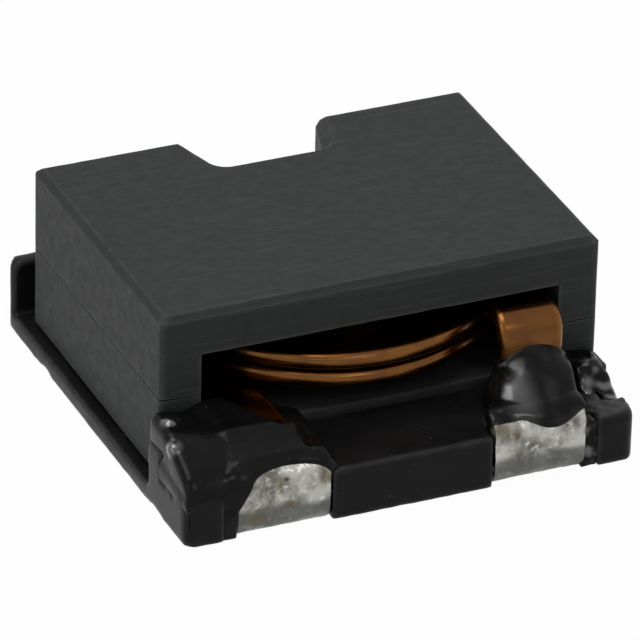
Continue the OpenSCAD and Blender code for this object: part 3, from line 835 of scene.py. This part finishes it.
# Flux spots as place, reach and strength, one pit on each coat (painted shade, with no hollow), and
# a bead of flux
amber_spots = (
    (((-2.60, -6.4, 1.45), (0.25, 0.6, 0.45), 0.9), ((-3.54, -6.5, 0.84), (0.30, 0.5, 0.22), 0.8),
     ((-4.50, -6.5, 0.55), (0.35, 0.5, 0.30), 0.9)),
    (((2.50, -6.3, 1.75), (0.45, 0.6, 0.35), 1.0), ((3.00, -6.4, 1.57), (0.35, 0.5, 0.25), 0.9)))
pits_at, pit_reach = ((-3.66, -6.45, 1.60), (3.02, -6.45, 1.50)), (0.14, 0.3, 0.13)
bead_at, bead_size, coat_skin = (2.27, -5.72, 1.70), 0.21, 0.035
for number, node in enumerate(("left_tinned_end", "right_tinned_end")):
    coat = solid_copy(node, node.replace("tinned_end", "solder_coat"))
    if node == "right_tinned_end":
        add_part(coat, *ball(bead_at, bead_size))
    mesh = reskinned(coat, coat_skin, 3)
    co, n = points_of(mesh), normals_of(mesh)
    height = 0.012 * ripple(co, 0.55, 41 + number) + 0.006 * ripple(co, 0.2, 43 + number) - 0.008
    place_points(mesh, co + n * height[:, None])
    flux = np.clip(1.6 * ripple(co, 0.7, 51 + number) - 1.0, 0, 1)
    for spot_at, spot_reach, strength in amber_spots[number]:
        flux = np.maximum(flux, strength * near(co, spot_at, spot_reach))
    store(mesh, "flux", flux)
    # Where the pit's painted shade goes
    store(mesh, "pit_shade", near(co, pits_at[number], pit_reach))
    # Darker towards the bottom of each coat, below about 0.7 to 0.95 mm
    store(mesh, "lower_darkening", 0.85 * (1 - band(co[:, 2] + 0.10 * ripple(co, 0.8, 91), 0.70, 0.95)))
    to_scale(coat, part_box(node))
    coat.data.materials.append(solder)
    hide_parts(node)
    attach(coat, "root")

# ------------------------------------------------------------------- epoxy
# Black epoxy was dropped on by hand: a pool over the left lead, a sleeve
# round the right one, runs beside the terminals and a cap on the right post.
# It set glossy and lumpy.
blue_black, warm_black = (0.0030, 0.0030, 0.0034), (0.0060, 0.0058, 0.0056)
lint_grey = (0.05, 0.05, 0.048)
resin, nodes, links, finish = shader("black_epoxy")
g = placed(nodes, grain, Broad_scale=1100.0, Fine_scale=7000.0)
dust = placed(nodes, specks, Scale=3400.0, Size=0.07)
colour = blended(nodes, links, g.outputs["Mottle"], blue_black, warm_black)
colour = blended(nodes, links, dust.outputs["Mask"], colour, lint_grey)
links.new(colour, finish.inputs["Base Color"])
links.new(ranged(nodes, links, g.outputs["Mottle"], 0.3, 0.7, 0.14, 0.26),
          finish.inputs["Roughness"])
finish.inputs["IOR"].default_value = 1.19
links.new(stored(nodes, "wet"), finish.inputs["Coat Weight"])
finish.inputs["Coat IOR"].default_value = 1.9
finish.inputs["Coat Roughness"].default_value = 0.20
relief(nodes, links, finish, g.outputs["Mottle"], 0.2, 0.00002)

tin_thick = 0.06
bend_middle, bend_out = over_level - bend, bend + end_thick / 2 + tin_thick
bend_way = math.pi / 2 * bend_out


def left_bare(x):
    """How far up the bend the left solder stays bare, in millimetres of its surface."""
    u = (x + 3.65) / (1.25 if x > -3.65 else 1.0)
    if abs(u) < 1:
        return 0.50 * math.sqrt(1 - u * u)
    return -1.7 * (abs(u) - 1)


def right_bare(x):
    """The same on the right, where the sleeve sags furthest over the middle."""
    return 0.75 - 0.68 * math.exp(-(x - 4.12) ** 2)


def lip(x_from, x_to, bare, thick, steps=44, around=22):
    """A skirt of epoxy over a terminal's bend, from its bare part's edge to the block's top."""
    rings = []
    for i in range(steps + 1):
        x = x_from + (x_to - x_from) * i / steps
        side = math.sqrt(max(0.0, 1 - (2 * i / steps - 1) ** 8))
        first, last = bare(x), bend_way + 0.30
        outer, inner = [], []
        for j in range(around + 1):
            u = j / around
            way = first + (last - first) * u
            grown = thick * side * (1 - (1 - min(1, u * 3.0)) ** 2) ** 0.5
            if way < 0:
                place, n = (bend_out - over_front, bend_middle + way), (1, 0)
            elif way < bend_way:
                a = way / bend_out
                n = (math.cos(a), math.sin(a))
                place = (bend_out * n[0] - over_front, bend_middle + bend_out * n[1])
            else:
                place, n = (-over_front - (way - bend_way), bend_middle + bend_out), (0, 1)
            outer.append((x, -(place[0] + n[0] * grown), place[1] + n[1] * grown))
            inner.append((x, -(place[0] - n[0] * 0.12), place[1] - n[1] * 0.12))
        rings.append(outer + inner[::-1])
    return rows_to_solid(rings)


# The pool's reach, where the corner foot ends beside it, and its levels
pool_left, pool_right, pool_front, foot_right = -6.50, -2.05, -6.49, -5.1
pool_floor, pool_foot_top, pool_foot_fall, pool_right_top = 1.30, 2.42, 0.66, 1.50


def pool_height(x, y):
    """The left pool's top: high by the ferrite, over the lead, low at the foot and the block."""
    by_the_foot = pool_foot_top - pool_foot_fall * ease(core_front - y, 0.0, 2.6)
    wire_rise = left_level + wire_thick / 2 - over_level - end_thick / 2
    lead_top = over_level + end_thick / 2 + wire_rise * ease(y, over_front, plain_front)
    # The copper stays bare behind a slanting line
    past_line = max(-3.31 - 1.17 * (x + 4.66), -4.98) - y
    slope = max(lead_top + 0.11, 2.58 - 0.36 * (-4.7 - y) / 1.3)
    cover = lead_top - 0.16 + (slope - lead_top + 0.16) * ease(past_line, -0.06, 0.16)
    z = by_the_foot + (cover - by_the_foot) * ease(x, -6.10, -4.70)
    z += (pool_right_top - z) * ease(x, -2.95, -2.12)
    edge = max(0.0, 1 - max(0.0, (-6.05 - x) / 0.46) ** 2) ** 0.4
    nose = math.sqrt(max(0.0, 1 - max(0.0, (-6.16 - y) / 0.36) ** 2))
    return pool_floor + (z - pool_floor) * edge * (nose if x < foot_right else 1)


def pool_lump(columns=70, rows=48):
    """The pool as a closed field of heights over the block."""
    back_side, underside = core_front + 0.02, 1.12
    out = []
    for i in range(columns + 1):
        x = pool_left + (pool_right - pool_left) * i / columns
        last = pool_front if x < foot_right else over_front - 0.25
        along = [back_side + (last - back_side) * j / rows for j in range(rows + 1)]
        out.append([(x, y, pool_height(x, y)) for y in along]
                   + [(x, last, underside), (x, back_side, underside)])
    return rows_to_solid(out)


def boxy(v):
    """A sine or cosine drawn outwards, so that a ring is squarer than an ellipse."""
    return math.copysign(abs(v) ** 0.6, v)


sleeve_foot, sleeve_top = 1.62, 3.03


def sleeve_lump(levels=40, around=48):
    """The right sleeve's body: it leans out from the drop to the bend, flaring as it goes."""
    out = []
    for i in range(levels + 1):
        u = i / levels
        z = sleeve_foot + (sleeve_top - sleeve_foot) * u
        lean = 1 - ease(u, 0.30, 0.97)
        front = -4.68 - 0.42 * (1 - u) - 1.10 * lean
        rear = -4.15 - 0.30 * (1 - u)
        left = 3.42 - 0.22 * (1 - u) - 0.55 * lean ** 1.6
        right_side = 5.20 + 0.08 * math.sin(math.pi * u) - 0.14 * lean
        taper = math.sqrt(max(0.0, 1 - max(0.0, (u - 0.86) / 0.16) ** 2))
        middle, half = (left + right_side) / 2, (right_side - left) / 2
        deep_middle, deep = (front + rear) / 2, (rear - front) / 2
        ring = []
        for j in range(around):
            a = 2 * math.pi * j / around
            drawn_in = 0.10 * (1 - taper) if math.sin(a) < 0 else 0
            ring.append((middle + half * boxy(math.cos(a)) * (0.93 + 0.07 * taper),
                         deep_middle + deep * boxy(math.sin(a)) + drawn_in, z))
        out.append(ring)
    return rows_to_solid(out)


# How far back the gaps beside the terminals are filled
gap_back = -5.95


def slot_lump(x_from, x_to, top, bottom, front, levels=12):
    """Epoxy that fills the gap beside a terminal."""
    rows = []
    for i in range(levels + 1):
        z = bottom + (top - bottom) * i / levels
        y = front + 0.05 * ease(0.25 - z, 0, 0.2) + 0.03 * math.sin(7 * z)
        rows.append([(x_from, y, z), (x_to, y, z), (x_to, gap_back, z), (x_from, gap_back, z)])
    return rows_to_solid(rows)


# Two drops by the left leg, and the way that they bulge
drops_at, drop_size = ((-5.92, -4.20, 2.50), (-6.12, -4.98, 2.20)), 0.31
bulge = drop_size * np.array([-0.66, -0.57, 0.49])
skins = (("left_epoxy", 0.035, 44), ("right_epoxy", 0.035, 34),
         ("right_run", 0.03, 4), ("post_epoxy", 0.04, 6))
for number, (node, voxel, relaxing) in enumerate(skins):
    blob = solid_copy(node, node + "_set")
    if node == "left_epoxy":
        add_part(blob, *lip(-5.10, -2.30, left_bare, 0.10))
        add_part(blob, *pool_lump())
        for drop_at in drops_at:
            add_part(blob, *ball(drop_at, drop_size))
        add_part(blob, *slot_lump(-5.46, -5.00, 1.55, 0.03, -6.48))
    if node == "right_epoxy":
        add_part(blob, *lip(2.52, 5.02, right_bare, 0.12))
        add_part(blob, *sleeve_lump())
    if node == "right_run":
        add_part(blob, *slot_lump(4.98, 5.42, 1.42, 0.05, -6.42))
    mesh = reskinned(blob, voxel, relaxing)
    co, n = points_of(mesh), normals_of(mesh)
    height = 0.010 * ripple(co, 0.9, 61 + number) + 0.002 * ripple(co, 0.3, 67 + number)
    calm = 0.02 if node == "left_epoxy" else 0.10
    shine = calm * np.clip(ripple(co, 0.5, 75 + number), 0, 1)
    if node == "left_epoxy":
        for drop_at in drops_at:
            crest = np.array(drop_at) + bulge
            height += 0.12 * near(co, crest, (0.26, 0.26, 0.26))
            shine = np.maximum(shine, np.clip(1.8 * near(co, crest, (0.34, 0.34, 0.34)), 0, 1))
    if node == "right_epoxy":
        across_it = np.clip((co[:, 0] - 4.27) / 0.95, -1, 1)
        shine = np.clip(shine + 0.7 * near(co, (3.35, -5.5, 2.3), (0.7, 1.8, 1.2)), 0, 1)
        height += (0.05 * np.clip(-n[:, 1], 0, 1) * (1 - across_it ** 2)
                   * band(co[:, 2], 1.9, 2.4) * (1 - band(co[:, 2], 2.6, 3.0)))
    if node in ("right_run", "post_epoxy"):
        height += 0.025 * ripple(co, 0.3, 71 + number)
        shine = 0.9 * np.clip(1.5 * ripple(co, 0.3, 79 + number), 0, 1)
    co = co + n * height[:, None]
    if node == "right_epoxy":
        co[:, 2] -= 0.34 * across_it ** 2 * band(co[:, 2], 2.4, 3.0)
    place_points(mesh, co)
    store(mesh, "wet", shine)
    to_scale(blob, (cad_low, cad_high))
    blob.data.materials.append(resin)
    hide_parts(node)
    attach(blob, "root")
